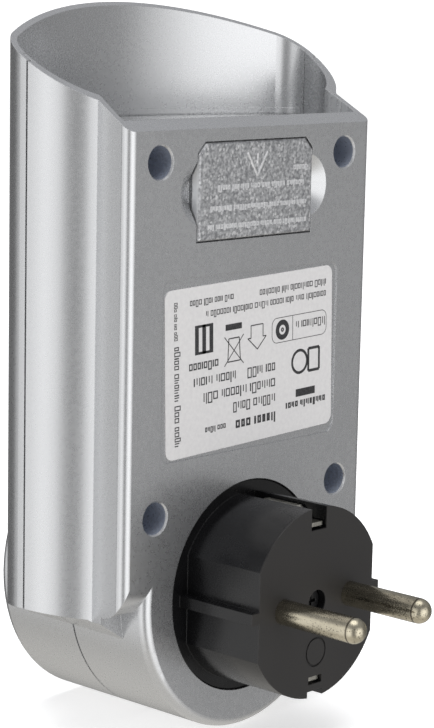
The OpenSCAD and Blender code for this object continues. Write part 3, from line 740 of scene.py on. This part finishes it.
# The view: azimuth, pitch and roll in degrees, the camera's place and its lens
VIEW = (47.48, 9.49, 1.2)
VIEW_PLACE = (0.3113, 0.2588, 0.1124)
VIEW_LENS = 110.4


def surroundings():
    """Light panels around the object, a dim ceiling and a pale ground."""
    world = bpy.data.worlds.new("studio")
    bpy.context.scene.world = world
    world.use_nodes = True
    tree = world.node_tree

    def node(kind, **settings):
        made = tree.nodes.new("ShaderNode" + kind)
        for key, value in settings.items():
            setattr(made, key, value)
        return made

    def ranged(source, lo, hi):
        made = node("MapRange", interpolation_type="SMOOTHSTEP")
        made.inputs["From Min"].default_value = lo
        made.inputs["From Max"].default_value = hi
        tree.links.new(source, made.inputs["Value"])
        return made.outputs["Result"]

    def blend(factor, low, high):
        made = node("Mix", data_type="RGBA")
        tree.links.new(factor, made.inputs["Factor"])
        tree.links.new(low, made.inputs[6])
        made.inputs[7].default_value = tuple(c / SURROUND_TOP for c in high) + (1,)
        return made.outputs[2]

    coord = node("TexCoord")
    axes = node("SeparateXYZ")
    tree.links.new(coord.outputs["Generated"], axes.inputs[0])
    angle = node("Math", operation="ARCTAN2")
    tree.links.new(axes.outputs[1], angle.inputs[0])
    tree.links.new(axes.outputs[0], angle.inputs[1])
    turn = node("MapRange")
    turn.inputs["From Min"].default_value = -math.pi
    turn.inputs["From Max"].default_value = math.pi
    tree.links.new(angle.outputs[0], turn.inputs["Value"])
    ramp = node("ValToRGB")
    ramp.color_ramp.interpolation = "EASE"
    stops = ramp.color_ramp.elements
    while len(stops) > 1:
        stops.remove(stops[-1])
    for i, (degrees, level) in enumerate(SURROUND):
        stop = stops[0] if i == 0 else stops.new((degrees + 180) / 360)
        stop.position = (degrees + 180) / 360
        stop.color = (level / SURROUND_TOP,) * 3 + (1,)
    tree.links.new(turn.outputs["Result"], ramp.inputs["Fac"])
    above = blend(ranged(axes.outputs[2], 0.22, 0.62), ramp.outputs["Color"], SKY)
    above = blend(ranged(axes.outputs[2], 0.86, 0.97), above, ZENITH)
    drop = node("Math", operation="MULTIPLY")
    tree.links.new(axes.outputs[2], drop.inputs[0])
    drop.inputs[1].default_value = -1
    below = blend(ranged(drop.outputs[0], 0.35, 0.8), above, GROUND)
    back = tree.nodes["Background"]
    tree.links.new(below, back.inputs["Color"])
    back.inputs["Strength"].default_value = SURROUND_TOP


def camera():
    """The view from behind, from the side of +X and a little above."""
    azimuth, pitch, roll = (math.radians(a) for a in VIEW)
    level = math.cos(pitch)
    forward = Vector((-math.sin(azimuth) * level, -math.cos(azimuth) * level, -math.sin(pitch)))
    right = forward.cross(Vector((0, 0, 1))).normalized()
    up = right.cross(forward)
    turned = Matrix.Rotation(-roll, 3, forward)
    columns = (turned @ right, turned @ up, -forward)
    data = bpy.data.cameras.new("camera")
    data.lens = VIEW_LENS
    data.sensor_width = 36
    data.clip_start = 0.01
    data.clip_end = 50
    cam = bpy.data.objects.new("camera", data)
    cam.matrix_world = Matrix.Translation(VIEW_PLACE) @ Matrix(columns).transposed().to_4x4()
    bpy.context.scene.collection.objects.link(cam)
    bpy.context.scene.camera = cam


def key_light():
    """One broad soft light high over the object, not seen in its glossy faces."""
    place = Vector((0.25, 0.1, 1.2))
    target = Vector((0, -0.03, 0))
    data = bpy.data.lights.new("key", "AREA")
    data.shape = "RECTANGLE"
    data.size = 0.9
    data.size_y = 0.9
    data.energy = 9
    light = bpy.data.objects.new("key", data)
    light.location = place
    light.rotation_mode = "QUATERNION"
    light.rotation_quaternion = (target - place).to_track_quat("-Z", "Y")
    bpy.context.scene.collection.objects.link(light)
    light.visible_camera = False
    light.visible_glossy = False


dress_nodes()
ink = print_ink()
label_marks(ink)
display_marks(ink)
key_marks(key_print())
cover_marks(raised_marks())
stage_scene()
surroundings()
camera()
key_light()
bpy.context.scene.view_settings.view_transform = "Standard"
